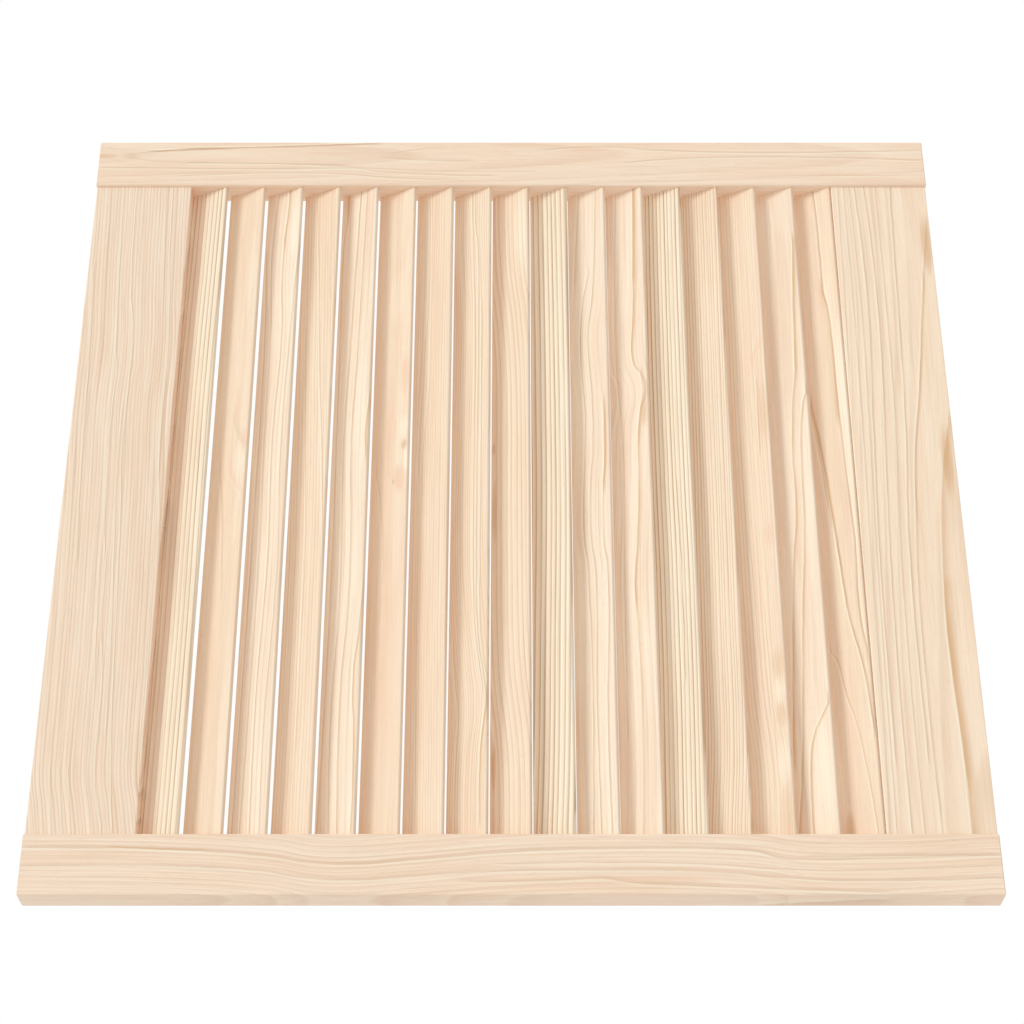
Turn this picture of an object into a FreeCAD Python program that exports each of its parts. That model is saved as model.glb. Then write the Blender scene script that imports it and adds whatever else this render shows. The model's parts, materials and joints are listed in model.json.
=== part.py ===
import FreeCAD, Part
import math
import os

from FreeCAD import Vector

# A louvred cabinet door in solid pine, lying on its back.
# X runs from the top rail to the bottom rail, Y from the left stile to the right stile,
# and Z from the back face to the front face. The origin is the centre of the back face.
# All sizes are in millimetres.

# The frame
door_height = 615.0
door_width = 594.0
door_thickness = 20.0
stile_width = 41.0
rail_width = 70.0
# The rails are thinner than the stiles and lie in the middle of the thickness.
rail_thickness = 16.0
# The rails' outer edges stop this far short of the stiles' ends.
rail_inset = 0.5
# Long edges are rounded, more on the stiles than on the rails, and the stiles' ends are eased.
stile_edge_radius = 1.5
rail_edge_radius = 0.8
end_arris = 0.6

# The slats, as deep as the rails, with slightly rounded long edges
slat_thickness = 3.4
slat_edge_radius = 1.0
slat_angle = 27.5
slat_pitch_wanted = 28.0
# From the edges of the first and last slat to the rails: the last one leaves a fine crack.
slat_to_top_rail = 0.05
slat_to_bottom_rail = 0.25
# Blind slots in the stiles hold the ends of the slats.
slot_depth = 9.0
slot_clearance = 0.04
slot_end_room = 0.5

# The dowels, two across each joint of a stile and a rail
dowel_diameter = 8.0
dowel_length = 40.0
dowel_chamfer = 1.0
dowel_clearance = 0.1
dowel_glue_room = 1.0
flute_count = 10
flute_radius = 0.5

# How far apart two places or directions may be and still count as the same
tolerance = 1e-6

# Places worked out from the sizes above
mid_thickness = door_thickness / 2
inner_width = door_width - 2 * stile_width
stile_inner_y = inner_width / 2
rail_outer_x = door_height / 2 - rail_inset
rail_inner_x = rail_outer_x - rail_width
opening_height = 2 * rail_inner_x

# Each slat is as wide as the rails' thickness lets it be at its angle. The centres of its rounded
# corners lie this far from its middle: up the door's thickness, through the slat and across it.
angle = math.radians(slat_angle)
corner_rise = rail_thickness / 2 - slat_edge_radius
corner_depth = slat_thickness / 2 - slat_edge_radius
corner_width = (corner_rise - corner_depth * math.cos(angle)) / math.sin(angle)
slat_width = 2 * (corner_width + slat_edge_radius)
slat_reach = 2 * (corner_width * math.cos(angle) + corner_depth * math.sin(angle) + slat_edge_radius)

# The slats are spread evenly between the rails, at the pitch nearest to the wanted one.
slat_span = opening_height - slat_to_top_rail - slat_to_bottom_rail - slat_reach
slat_count = round(slat_span / slat_pitch_wanted) + 1
slat_pitch = slat_span / (slat_count - 1)
slat_length = inner_width + 2 * (slot_depth - slot_end_room)
first_slat_x = -rail_inner_x + slat_to_top_rail + slat_reach / 2
slat_centres = [first_slat_x + i * slat_pitch for i in range(slat_count)]

X_AXIS = Vector(1, 0, 0)
Y_AXIS = Vector(0, 1, 0)

# The stiles stand on the sides -Y and +Y, and the rails at the ends -X and +X.
SIDE_NAMES = {-1: "left", 1: "right"}
END_NAMES = {-1: "top", 1: "bottom"}


def runs_along(edge, axis):
    """Whether a straight edge runs along an axis."""
    return edge.tangentAt(edge.FirstParameter).cross(axis).Length < tolerance


def eased_bar(size, corner, axis, radius):
    """A bar from its lowest corner, with the four edges along its axis rounded."""
    bar = Part.makeBox(size.x, size.y, size.z, corner)
    return bar.makeFillet(radius, [edge for edge in bar.Edges if runs_along(edge, axis)])


def slat_bar(centre_x, grow, start_y, length):
    """A length of slat from start_y towards +Y, grown all round for its slot."""
    size = Vector(slat_width + 2 * grow, length, slat_thickness + 2 * grow)
    middle = Vector(centre_x, start_y, mid_thickness)
    corner = middle - Vector(size.x / 2, 0, size.z / 2)
    bar = eased_bar(size, corner, Y_AXIS, slat_edge_radius + grow)
    bar.rotate(middle, Y_AXIS, -slat_angle)
    return bar


def dowel_places(end):
    """X of the outer and the inner dowel, a quarter of the rail's width from its edges."""
    outer = end * (rail_outer_x - rail_width / 4)
    inner = end * (rail_inner_x + rail_width / 4)
    return {"outer": outer, "inner": inner}


def dowel_hole(x, side):
    """The drilled space for one dowel, half in the stile and half in the rail."""
    half_depth = dowel_length / 2 + dowel_glue_room
    start = Vector(x, side * stile_inner_y - half_depth, mid_thickness)
    radius = dowel_diameter / 2 + dowel_clearance
    return Part.makeCylinder(radius, 2 * half_depth, start, Y_AXIS)


def stile(side):
    """An upright of the frame, with a slot for each slat and holes for four dowels."""
    outer_y = side * door_width / 2
    inner_y = side * stile_inner_y
    corner = Vector(-door_height / 2, min(outer_y, inner_y), 0)
    size = Vector(door_height, stile_width, door_thickness)
    bar = eased_bar(size, corner, X_AXIS, stile_edge_radius)
    end_x = door_height / 2
    end_edges = [edge for edge in bar.Edges if abs(abs(edge.CenterOfMass.x) - end_x) < tolerance]
    bar = bar.makeChamfer(end_arris, end_edges)
    slot_start = inner_y if side > 0 else inner_y - slot_depth
    slots = [slat_bar(x, slot_clearance, slot_start, slot_depth) for x in slat_centres]
    holes = [dowel_hole(x, side) for end in END_NAMES for x in dowel_places(end).values()]
    return bar.cut(slots + holes)


def rail(end):
    """A cross piece of the frame between the stiles, with holes for four dowels."""
    start_x = min(end * rail_inner_x, end * rail_outer_x)
    corner = Vector(start_x, -stile_inner_y, mid_thickness - rail_thickness / 2)
    size = Vector(rail_width, inner_width, rail_thickness)
    bar = eased_bar(size, corner, Y_AXIS, rail_edge_radius)
    return bar.cut([dowel_hole(x, side) for side in SIDE_NAMES for x in dowel_places(end).values()])


def dowel(x, side):
    """A fluted dowel with chamfered ends, centred on the joint of a stile and a rail."""
    start = Vector(x, side * stile_inner_y - dowel_length / 2, mid_thickness)
    peg = Part.makeCylinder(dowel_diameter / 2, dowel_length, start, Y_AXIS)
    rims = [edge for edge in peg.Edges if len(edge.Vertexes) == 1]
    peg = peg.makeChamfer(dowel_chamfer, rims)
    flutes = []
    for i in range(flute_count):
        turn = 2 * math.pi * i / flute_count
        offset = Vector(math.cos(turn), 0, math.sin(turn)) * (dowel_diameter / 2)
        flutes.append(Part.makeCylinder(flute_radius, dowel_length, start + offset, Y_AXIS))
    return peg.cut(flutes)


def build():
    """Every piece of the door by its name."""
    pieces = {}
    for side, side_name in SIDE_NAMES.items():
        pieces[f"stile_{side_name}"] = stile(side)
    for end, end_name in END_NAMES.items():
        pieces[f"rail_{end_name}"] = rail(end)
    for number, x in enumerate(slat_centres, start=1):
        pieces[f"slat_{number:02d}"] = slat_bar(x, 0, -slat_length / 2, slat_length)
    for end, end_name in END_NAMES.items():
        for side, side_name in SIDE_NAMES.items():
            for place, x in dowel_places(end).items():
                pieces[f"dowel_{end_name}_{side_name}_{place}"] = dowel(x, side)
    return pieces


def main():
    """Write one file per piece and print what each measures."""
    os.makedirs("parts", exist_ok=True)
    for name, shape in build().items():
        shape.exportStep(f"parts/{name}.step")
        box = shape.BoundBox
        print(name, len(shape.Solids), shape.isValid(), round(shape.Volume, 1),
              [round(v, 2) for v in (box.XMin, box.XMax, box.YMin, box.YMax, box.ZMin, box.ZMax)])
    print("slats", slat_count, "pitch", round(slat_pitch, 3), "length", slat_length,
          "width", round(slat_width, 3))


main()
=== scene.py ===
"""Looks of a louvred cabinet door in unfinished pine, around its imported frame.

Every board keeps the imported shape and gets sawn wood: growth rings about a pith of its own, bent
where the tree had branches, with fibres, resin marks and end grain. Lengths inside the grain are
in millimetres, and everything else is in metres.
"""

from __future__ import annotations

import json
import logging
import math
from dataclasses import dataclass, replace
from enum import Enum
from typing import Sequence, Union

import bmesh
import bpy
from mathutils import Color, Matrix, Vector

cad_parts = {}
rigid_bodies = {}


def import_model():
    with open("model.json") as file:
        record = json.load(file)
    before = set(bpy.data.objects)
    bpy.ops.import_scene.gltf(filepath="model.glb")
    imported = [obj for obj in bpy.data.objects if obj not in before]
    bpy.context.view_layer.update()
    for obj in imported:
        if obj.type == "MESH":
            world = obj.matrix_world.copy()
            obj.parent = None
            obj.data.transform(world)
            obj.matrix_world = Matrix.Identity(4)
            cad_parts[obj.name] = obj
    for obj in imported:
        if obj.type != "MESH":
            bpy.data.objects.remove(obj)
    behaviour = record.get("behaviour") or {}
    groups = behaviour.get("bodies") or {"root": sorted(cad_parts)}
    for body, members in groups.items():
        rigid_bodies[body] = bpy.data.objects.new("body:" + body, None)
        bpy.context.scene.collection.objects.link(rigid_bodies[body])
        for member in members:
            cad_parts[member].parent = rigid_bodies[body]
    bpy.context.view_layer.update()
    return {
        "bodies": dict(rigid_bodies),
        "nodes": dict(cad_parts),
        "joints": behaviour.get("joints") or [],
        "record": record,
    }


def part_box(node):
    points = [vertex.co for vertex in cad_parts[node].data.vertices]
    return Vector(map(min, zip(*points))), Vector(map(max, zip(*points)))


LOG = logging.getLogger("louvred_door")
IMAGE_SIDE_PX = 1024
MM_PER_M = 1000.0
# The highest level of a colour on a screen
TOP_LEVEL = 255
# Paths drawn on a board run within these distances from its middle, in millimetres.
PATH_REACH = 320.0
PATH_RISE = 40.0
# Noise runs from 0 to 1 about this value.
NOISE_MEAN = 0.5

Colour = tuple[float, float, float, float]
Pair = tuple[float, float]
Triple = tuple[float, float, float]
Node = bpy.types.Node
Socket = bpy.types.NodeSocket
Tree = bpy.types.NodeTree
Feed = Union[float, Sequence[float], Socket]
Pieces = dict[str, bpy.types.Object]

# Ways in the frame: from the top rail to the bottom rail, from stile to stile and out of the front
LENGTHWISE: Triple = (1.0, 0.0, 0.0)
CROSSWISE: Triple = (0.0, 1.0, 0.0)
FRONTWARD: Triple = (0.0, 0.0, 1.0)
WHITE: Colour = (1.0, 1.0, 1.0, 1.0)

# Where the pith lies, across a board and out from its middle: far to the side for a board sawn
# through the rings, and below it for one sawn along them
QUARTER_SAWN: Pair = (-150.0, 0.0)
PLAIN_SAWN: Pair = (-5.0, -60.0)


def srgb(red: int, green: int, blue: int) -> Colour:
    """Turn a colour as a paint chart gives it into linear light.

    Args:
        red: Red, from 0 to 255.
        green: Green, from 0 to 255.
        blue: Blue, from 0 to 255.

    Returns:
        The colour in linear light, opaque.
    """
    shares = Color((red / TOP_LEVEL, green / TOP_LEVEL, blue / TOP_LEVEL))
    return (*shares.from_srgb_to_scene_linear(), 1.0)


@dataclass(frozen=True)
class WoodTone:
    """Colours of wood from one log: pale early wood, darker late wood, and where it reddens."""

    early: Colour
    late: Colour
    blush: Colour


class Tone(Enum):
    """The logs that the door's pieces were sawn from."""

    FRAME = WoodTone(srgb(248, 219, 195), srgb(200, 160, 125), srgb(245, 213, 186))
    BRIGHT = WoodTone(srgb(251, 223, 197), srgb(200, 160, 125), srgb(248, 217, 189))
    STRIPED = WoodTone(srgb(248, 226, 200), srgb(177, 135, 97), srgb(245, 218, 190))
    CREAM = WoodTone(srgb(250, 226, 202), srgb(186, 146, 112), srgb(246, 217, 191))
    PEACH = WoodTone(srgb(246, 218, 191), srgb(197, 158, 125), srgb(244, 211, 182))
    ROSY = WoodTone(srgb(247, 219, 191), srgb(205, 163, 132), srgb(245, 212, 185))
    BEECH = WoodTone(srgb(222, 186, 150), srgb(200, 158, 120), srgb(224, 184, 150))


class MarkTone(Enum):
    """Colours of the lines and marks that break a board's even grain, and of one painted shade."""

    RESIN = srgb(213, 163, 113)
    TAN = srgb(216, 180, 149)
    PINK = srgb(242, 197, 170)
    PALE = srgb(255, 245, 222)
    BROWN = srgb(200, 152, 112)
    # Painted shade: a greyish tone that darkens the slats' upper edges, which face away from the key
    # light
    DUST = srgb(207, 188, 167)


@dataclass(frozen=True)
class Bend:
    """A place where the grain swerves to one side, as it does beside a branch."""

    along: float
    across: float
    reach: float
    width: float
    shift: float


@dataclass(frozen=True)
class Mark:
    """A streak or spot of another colour, drawn out along the grain."""

    along: float
    across: float
    reach: float
    width: float
    tone: MarkTone
    strength: float


@dataclass(frozen=True)
class GrainLine:
    """The edge of one ring on a board's front face, through places along and across the board.

    Its colour fades out over the widths below and above the path. Pale is how strongly the wood
    next to its sharp side shows, as a share of its strength.
    """

    path: tuple[Pair, ...]
    below: float = 0.5
    above: float = 2.0
    strength: float = 0.6
    tone: MarkTone = MarkTone.TAN
    pale: float = 0.6


@dataclass(frozen=True)
class GrainFigure:
    """How one board was sawn, which sets the figure on all its faces.

    The pith is the middle of the tree, given across the board and out from its middle. Lean is the
    pith's slope along the board, and drift the path that the grain follows across it. Spacing is
    the width of a ring, wander how far it sways and uneven how much the widths differ. Late share
    is the dark part of a ring. Contrast and streaks are how strongly rings and fibres show, and
    start is where the board's noise begins.
    """

    pith: Pair
    spacing: float
    tone: Tone
    lean: Pair = (0.0, 0.0)
    wander: float = 0.6
    uneven: float = 1.0
    late_share: float = 0.45
    contrast: float = 0.5
    streaks: float = 0.35
    start: float = 0.0
    drift: tuple[Pair, ...] = ()
    bends: tuple[Bend, ...] = ()
    lines: tuple[GrainLine, ...] = ()
    marks: tuple[Mark, ...] = ()


# Each piece's figure, by the piece's name
Figures = dict[str, GrainFigure]


class Sheet:
    """A node tree that is being drawn, with one short call for each kind of node."""

    def __init__(self, tree: Tree) -> None:
        """Draw on this tree."""
        self.tree = tree

    def node(self, kind: str, **settings: object) -> Node:
        """Add a node.

        Args:
            kind: Blender's name for the type of node.
            settings: Properties to set on it.

        Returns:
            The new node.
        """
        made = self.tree.nodes.new(kind)
        for name, value in settings.items():
            setattr(made, name, value)
        return made

    def feed(self, socket: Socket, value: Feed) -> None:
        """Link a socket to another one, or set its own value.

        Args:
            socket: The socket that takes the value.
            value: Another socket, or a number, vector or colour.
        """
        if isinstance(value, Socket):
            self.tree.links.new(value, socket)
        else:
            socket.default_value = value

    def feed_all(self, node: Node, values: Sequence[Feed]) -> None:
        """Feed a node's inputs in order."""
        for socket, value in zip(node.inputs, values):
            self.feed(socket, value)

    def math(self, operation: str, *values: Feed) -> Socket:
        """Add a sum of numbers.

        Args:
            operation: Blender's name for the operation.
            values: What goes in, in order.

        Returns:
            The socket with the result.
        """
        made = self.node("ShaderNodeMath", operation=operation)
        self.feed_all(made, values)
        return made.outputs[0]

    def vector(self, operation: str, *values: Feed) -> Socket:
        """Add a sum of vectors.

        Args:
            operation: Blender's name for the operation.
            values: What goes in, in order.

        Returns:
            The socket with the result, a number for a dot product and a vector otherwise.
        """
        made = self.node("ShaderNodeVectorMath", operation=operation)
        self.feed_all(made, values)
        return made.outputs["Value" if operation == "DOT_PRODUCT" else "Vector"]

    def split(self, vector: Feed) -> tuple[Socket, ...]:
        """Take a vector apart.

        Args:
            vector: The vector.

        Returns:
            The sockets with its three parts.
        """
        made = self.node("ShaderNodeSeparateXYZ")
        self.feed(made.inputs[0], vector)
        return tuple(made.outputs)

    def join(self, *parts: Feed) -> Socket:
        """Make a vector.

        Args:
            parts: Its three parts.

        Returns:
            The socket with the vector.
        """
        made = self.node("ShaderNodeCombineXYZ")
        self.feed_all(made, parts)
        return made.outputs[0]

    def ramp(self, value: Feed, low: Feed, high: Feed, start: float = 0.0,
             end: float = 1.0) -> Socket:
        """Turn a stretch of values into a smooth step.

        Args:
            value: What is measured.
            low: Where the step starts.
            high: Where the step ends.
            start: What it gives up to low.
            end: What it gives from high.

        Returns:
            The socket with the step.
        """
        made = self.node("ShaderNodeMapRange", interpolation_type="SMOOTHSTEP")
        self.feed_all(made, (value, low, high, start, end))
        return made.outputs[0]

    def fall(self, value: Feed, low: Feed, high: Feed) -> Socket:
        """Turn a stretch of values into a smooth step down, from one to zero."""
        return self.ramp(value, low, high, 1.0, 0.0)

    def noise(self, place: Feed, detail: float = 1.0, output: str = "Fac") -> Socket:
        """Add cloudy noise with features one unit across.

        Args:
            place: Where it is read.
            detail: How many finer layers it has.
            output: Fac for one number, or Color for three.

        Returns:
            The socket with the noise.
        """
        made = self.node("ShaderNodeTexNoise", noise_dimensions="3D")
        self.feed(made.inputs["Vector"], place)
        made.inputs["Scale"].default_value = 1.0
        made.inputs["Detail"].default_value = detail
        return made.outputs[output]

    def mix(self, factor: Feed, under: Feed, over: Feed, blend: str = "MIX") -> Socket:
        """Lay one colour over another.

        Args:
            factor: How much of the upper colour shows.
            under: The lower colour.
            over: The upper colour.
            blend: Blender's name for the way they combine.

        Returns:
            The socket with the colour.
        """
        made = self.node("ShaderNodeMix", data_type="RGBA", blend_type=blend)
        wanted = {"Factor_Float": factor, "A_Color": under, "B_Color": over}
        for socket in made.inputs:
            if socket.identifier in wanted:
                self.feed(socket, wanted[socket.identifier])
        return next(socket for socket in made.outputs if socket.identifier == "Result_Color")

    def curve(self, value: Feed, path: Sequence[Pair]) -> Socket:
        """Follow a smooth path, which stays level beyond its ends.

        The node's own curve runs from 0 to 1 both ways, with the board's middle in its middle.

        Args:
            value: How far along, in millimetres.
            path: Places along and across, in millimetres and in order.

        Returns:
            The socket with the place across, in millimetres.
        """
        centre = 0.5
        made = self.node("ShaderNodeFloatCurve")
        made.mapping.extend = "HORIZONTAL"
        points = made.mapping.curves[0].points
        scaled = [(centre + centre * along / PATH_REACH, centre + centre * across / PATH_RISE)
                  for along, across in path]
        points[0].location, points[1].location = scaled[0], scaled[-1]
        for spot in scaled[1:-1]:
            points.new(*spot)
        made.mapping.update()
        share = self.math("MULTIPLY_ADD", value, centre / PATH_REACH, centre)
        self.feed(made.inputs["Value"], share)
        rise = self.math("SUBTRACT", made.outputs[0], centre)
        return self.math("MULTIPLY", rise, PATH_RISE / centre)

    def place(self, group: Tree, **values: Feed) -> bpy.types.bpy_prop_collection:
        """Place a node group.

        Args:
            group: The group.
            values: What goes into its inputs, with underscores for the spaces in their names.

        Returns:
            The group's output sockets, by name.
        """
        made = self.node("ShaderNodeGroup", node_tree=group)
        for name, value in values.items():
            self.feed(made.inputs[name.replace("_", " ")], value)
        return made.outputs


class GroupSheet(Sheet):
    """A shader node group that is being drawn."""

    KINDS = {"f": "NodeSocketFloat", "v": "NodeSocketVector", "c": "NodeSocketColor"}

    def __init__(self, name: str, inputs: dict[str, str], outputs: dict[str, str]) -> None:
        """Make the group with its sockets.

        Args:
            name: The group's name.
            inputs: Each input's name, with f for a number, v for a vector or c for a colour.
            outputs: Each output, in the same way.
        """
        super().__init__(bpy.data.node_groups.new(name, "ShaderNodeTree"))
        for way, sockets in (("INPUT", inputs), ("OUTPUT", outputs)):
            for title, kind in sockets.items():
                self.tree.interface.new_socket(title, in_out=way, socket_type=self.KINDS[kind])
        self.given = self.node("NodeGroupInput").outputs
        self.result = self.node("NodeGroupOutput").inputs

    def give(self, **values: Feed) -> Tree:
        """Link the group's outputs.

        Args:
            values: What comes out, by name.

        Returns:
            The finished group.
        """
        for name, value in values.items():
            self.feed(self.result[name], value)
        return self.tree

    def distance(self) -> Socket:
        """Measure how far a place lies from a spot, in reaches along and widths across.

        Returns:
            The socket with the square of the distance.
        """
        offset = self.vector("SUBTRACT", self.given["Place"], self.given["Spot"])
        along, across, _ = self.split(offset)
        along = self.math("DIVIDE", along, self.given["Reach"])
        across = self.math("DIVIDE", across, self.given["Width"])
        return self.math("MULTIPLY_ADD", along, along, self.math("MULTIPLY", across, across))


def place_group() -> Tree:
    """Draw where a point lies in its board: along, across and out from the middle, in millimetres.

    Returns:
        The group.
    """
    sheet = GroupSheet("Grain place", {"Centre": "v", "Along": "v", "Across": "v", "Face": "v"},
                       {"Place": "v"})
    point = sheet.node("ShaderNodeTexCoord").outputs["Object"]
    offset = sheet.vector("SUBTRACT", point, sheet.given["Centre"])
    offset = sheet.vector("MULTIPLY", offset, (MM_PER_M, MM_PER_M, MM_PER_M))
    parts = [sheet.vector("DOT_PRODUCT", offset, sheet.given[axis])
             for axis in ("Along", "Across", "Face")]
    return sheet.give(Place=sheet.join(*parts))


def bend_group() -> Tree:
    """Draw the swerve of the grain round one spot, fading with the distance from it.

    Returns:
        The group.
    """
    sheet = GroupSheet("Grain bend", {"Place": "v", "Spot": "v", "Reach": "f", "Width": "f",
                                      "Shift": "f"}, {"Place": "v"})
    fade = sheet.math("EXPONENT", sheet.math("MULTIPLY", sheet.distance(), -1.0))
    move = sheet.join(0.0, sheet.math("MULTIPLY", fade, sheet.given["Shift"]), 0.0)
    return sheet.give(Place=sheet.vector("SUBTRACT", sheet.given["Place"], move))


@dataclass(frozen=True)
class GrowthRings:
    """Growth rings about the pith: dark late wood that stops sharply, and the pale wood after it.

    Lengths are in millimetres. The ends and the peak are shares of one ring.
    """

    wave_length: float = 90.0
    wave_width: float = 22.0
    summer_step: float = 0.6
    late_end: float = 0.95
    late_peak: float = 0.92
    early_end: float = 0.45
    weakest_year: float = 0.55
    year_step: float = 3.7
    faint_length: float = 110.0
    faint_range: Pair = (0.25, 0.6)
    faintest: float = 0.55

    def build(self) -> Tree:
        """Draw the group.

        Returns:
            The group.
        """
        sheet = GroupSheet("Growth rings", {"Place": "v", "Pith": "v", "Lean": "v", "Spacing": "f",
                                            "Wander": "f", "Uneven": "f", "Late Share": "f",
                                            "Start": "f"}, {"Late": "f", "Early": "f"})
        given = sheet.given
        start = given["Start"]
        along = sheet.split(given["Place"])[0]
        lean = sheet.vector("MULTIPLY", sheet.join(along, along, along), given["Lean"])
        pith = sheet.vector("ADD", given["Pith"], lean)
        # The rings' slow waves
        wave_size = (1 / self.wave_length, 1 / self.wave_width, 1 / self.wave_width)
        waves_at = sheet.vector("MULTIPLY", given["Place"], wave_size)
        waves_at = sheet.vector("ADD", waves_at, sheet.join(start, start, start))
        waves = sheet.noise(waves_at, output="Color")
        waves = sheet.vector("SUBTRACT", waves, (NOISE_MEAN, NOISE_MEAN, NOISE_MEAN))
        wander = sheet.math("DIVIDE", given["Wander"], NOISE_MEAN)
        waves = sheet.vector("MULTIPLY", waves, sheet.join(0.0, wander, wander))
        offset = sheet.vector("ADD", sheet.vector("SUBTRACT", given["Place"], pith), waves)
        _, across, out = sheet.split(offset)
        squares = sheet.math("MULTIPLY_ADD", across, across, sheet.math("MULTIPLY", out, out))
        count = sheet.math("DIVIDE", sheet.math("SQRT", squares), given["Spacing"])
        # Good and bad summers make wide and narrow rings
        summers_at = sheet.math("MULTIPLY_ADD", count, self.summer_step, start)
        summers = sheet.noise(sheet.join(summers_at, 0.0, 0.0), detail=0.0)
        summers = sheet.math("SUBTRACT", summers, NOISE_MEAN)
        count = sheet.math("MULTIPLY_ADD", summers, given["Uneven"], count)
        count = sheet.math("ADD", count, start)
        year = sheet.math("FLOOR", count)
        season = sheet.math("FRACT", count)
        late_from = sheet.math("SUBTRACT", self.late_end, given["Late Share"])
        late = sheet.math("MULTIPLY", sheet.ramp(season, late_from, self.late_peak),
                          sheet.fall(season, self.late_peak, 1.0))
        luck = sheet.node("ShaderNodeTexWhiteNoise", noise_dimensions="1D")
        sheet.feed(luck.inputs["W"], year)
        strength = sheet.math("MULTIPLY_ADD", luck.outputs["Value"], 1 - self.weakest_year,
                              self.weakest_year)
        # Each line grows fainter and stronger along the board
        faint_at = sheet.join(sheet.math("DIVIDE", along, self.faint_length),
                              sheet.math("MULTIPLY", year, self.year_step), start)
        faint = sheet.ramp(sheet.noise(faint_at), *self.faint_range, self.faintest)
        late = sheet.math("MULTIPLY", sheet.math("MULTIPLY", late, strength), faint)
        return sheet.give(Late=late, Early=sheet.fall(season, 0.0, self.early_end))


@dataclass(frozen=True)
class RingEdge:
    """The dark edge of one ring beside its path, and the pale wood next to it.

    The ring slants as it goes down into the board. Lengths are in millimetres.
    """

    slant: float = 0.25
    wave_length: float = 24.0
    wave_width: float = 1.3
    wave_detail: float = 2.0
    pale_width: float = 1.8
    end_fade: float = 14.0
    faint_length: float = 55.0
    faint_range: Pair = (0.3, 0.6)
    faintest: float = 0.6

    def build(self) -> Tree:
        """Draw the group.

        Returns:
            The group.
        """
        sheet = GroupSheet("Ring edge", {"Place": "v", "Path": "f", "From": "f", "To": "f", "Top": "f",
                                         "Below": "f", "Above": "f", "Strength": "f",
                                         "Pale Share": "f"}, {"Dark": "f", "Pale": "f"})
        given = sheet.given
        along, across, out = sheet.split(given["Place"])
        depth = sheet.math("MULTIPLY", sheet.math("SUBTRACT", given["Top"], out), self.slant)
        aside = sheet.math("ADD", sheet.math("SUBTRACT", across, given["Path"]), depth)
        waves_at = sheet.join(sheet.math("DIVIDE", along, self.wave_length), given["From"], given["To"])
        waves = sheet.math("SUBTRACT", sheet.noise(waves_at, self.wave_detail), NOISE_MEAN)
        aside = sheet.math("MULTIPLY_ADD", waves, self.wave_width, aside)
        edge = sheet.math("MULTIPLY", given["Below"], -1.0)
        dark = sheet.math("MULTIPLY", sheet.ramp(aside, edge, 0.0),
                          sheet.fall(aside, 0.0, given["Above"]))
        # The pale wood lies on the side where the line stops sharply
        side = sheet.math("SIGN", sheet.math("SUBTRACT", given["Above"], given["Below"]))
        beyond = sheet.math("MULTIPLY", aside, side)
        sharp = sheet.math("MULTIPLY", sheet.math("MINIMUM", given["Above"], given["Below"]), -1.0)
        pale_from = sheet.math("SUBTRACT", sharp, self.pale_width)
        pale = sheet.math("MULTIPLY", sheet.ramp(beyond, pale_from, sharp),
                          sheet.fall(beyond, sharp, 0.0))
        # It comes and goes along its path, and fades at its ends
        fade_from = sheet.math("SUBTRACT", given["From"], self.end_fade)
        fade_to = sheet.math("ADD", given["To"], self.end_fade)
        faint_at = sheet.join(sheet.math("DIVIDE", along, self.faint_length), given["To"], given["From"])
        shares = (sheet.ramp(along, fade_from, given["From"]), sheet.fall(along, given["To"], fade_to),
                  sheet.ramp(sheet.noise(faint_at), *self.faint_range, self.faintest),
                  given["Strength"])
        for share in shares:
            dark = sheet.math("MULTIPLY", dark, share)
            pale = sheet.math("MULTIPLY", pale, share)
        return sheet.give(Dark=dark, Pale=sheet.math("MULTIPLY", pale, given["Pale Share"]))


@dataclass(frozen=True)
class Streaks:
    """One kind of streak along the grain: its length and width in millimetres, and finer layers."""

    length: float
    width: float
    detail: float


@dataclass(frozen=True)
class WoodFibre:
    """Streaks along the grain at three widths, and the short dark pores of resin canals."""

    fine: Streaks = Streaks(24.0, 0.45, 2.0)
    streak: Streaks = Streaks(75.0, 1.3, 2.0)
    broad: Streaks = Streaks(130.0, 9.0, 1.0)
    canal: Streaks = Streaks(7.0, 0.35, 0.0)
    canal_range: Pair = (0.72, 0.80)
    start_shift: Triple = (71.0, 13.0, 7.0)

    def build(self) -> Tree:
        """Draw the group.

        Returns:
            The group.
        """
        sheet = GroupSheet("Wood fibre", {"Place": "v", "Start": "f"},
                           {"Fine": "f", "Streak": "f", "Broad": "f", "Canal": "f"})
        start = sheet.given["Start"]
        shift = sheet.vector("MULTIPLY", sheet.join(start, start, start), self.start_shift)
        shifted = sheet.vector("ADD", shift, sheet.given["Place"])

        def drawn(kind: Streaks) -> Socket:
            """Noise drawn out to one kind of streak."""
            size = (1 / kind.length, 1 / kind.width, 1 / kind.width)
            return sheet.noise(sheet.vector("MULTIPLY", shifted, size), kind.detail)

        return sheet.give(Fine=drawn(self.fine), Streak=drawn(self.streak), Broad=drawn(self.broad),
                          Canal=sheet.ramp(drawn(self.canal), *self.canal_range))


@dataclass(frozen=True)
class SoftMark:
    """A soft mark round one spot, ragged along the fibres."""

    raggedness: float = 1.6
    fade_range: Pair = (-0.1, 1.3)

    def build(self) -> Tree:
        """Draw the group.

        Returns:
            The group.
        """
        sheet = GroupSheet("Grain mark", {"Place": "v", "Spot": "v", "Reach": "f", "Width": "f",
                                          "Strength": "f", "Streak": "f"}, {"Mask": "f"})
        streak = sheet.math("SUBTRACT", sheet.given["Streak"], NOISE_MEAN)
        ragged = sheet.math("MULTIPLY_ADD", streak, self.raggedness, sheet.distance())
        mask = sheet.fall(ragged, *self.fade_range)
        return sheet.give(Mask=sheet.math("MULTIPLY", mask, sheet.given["Strength"]))


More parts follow.
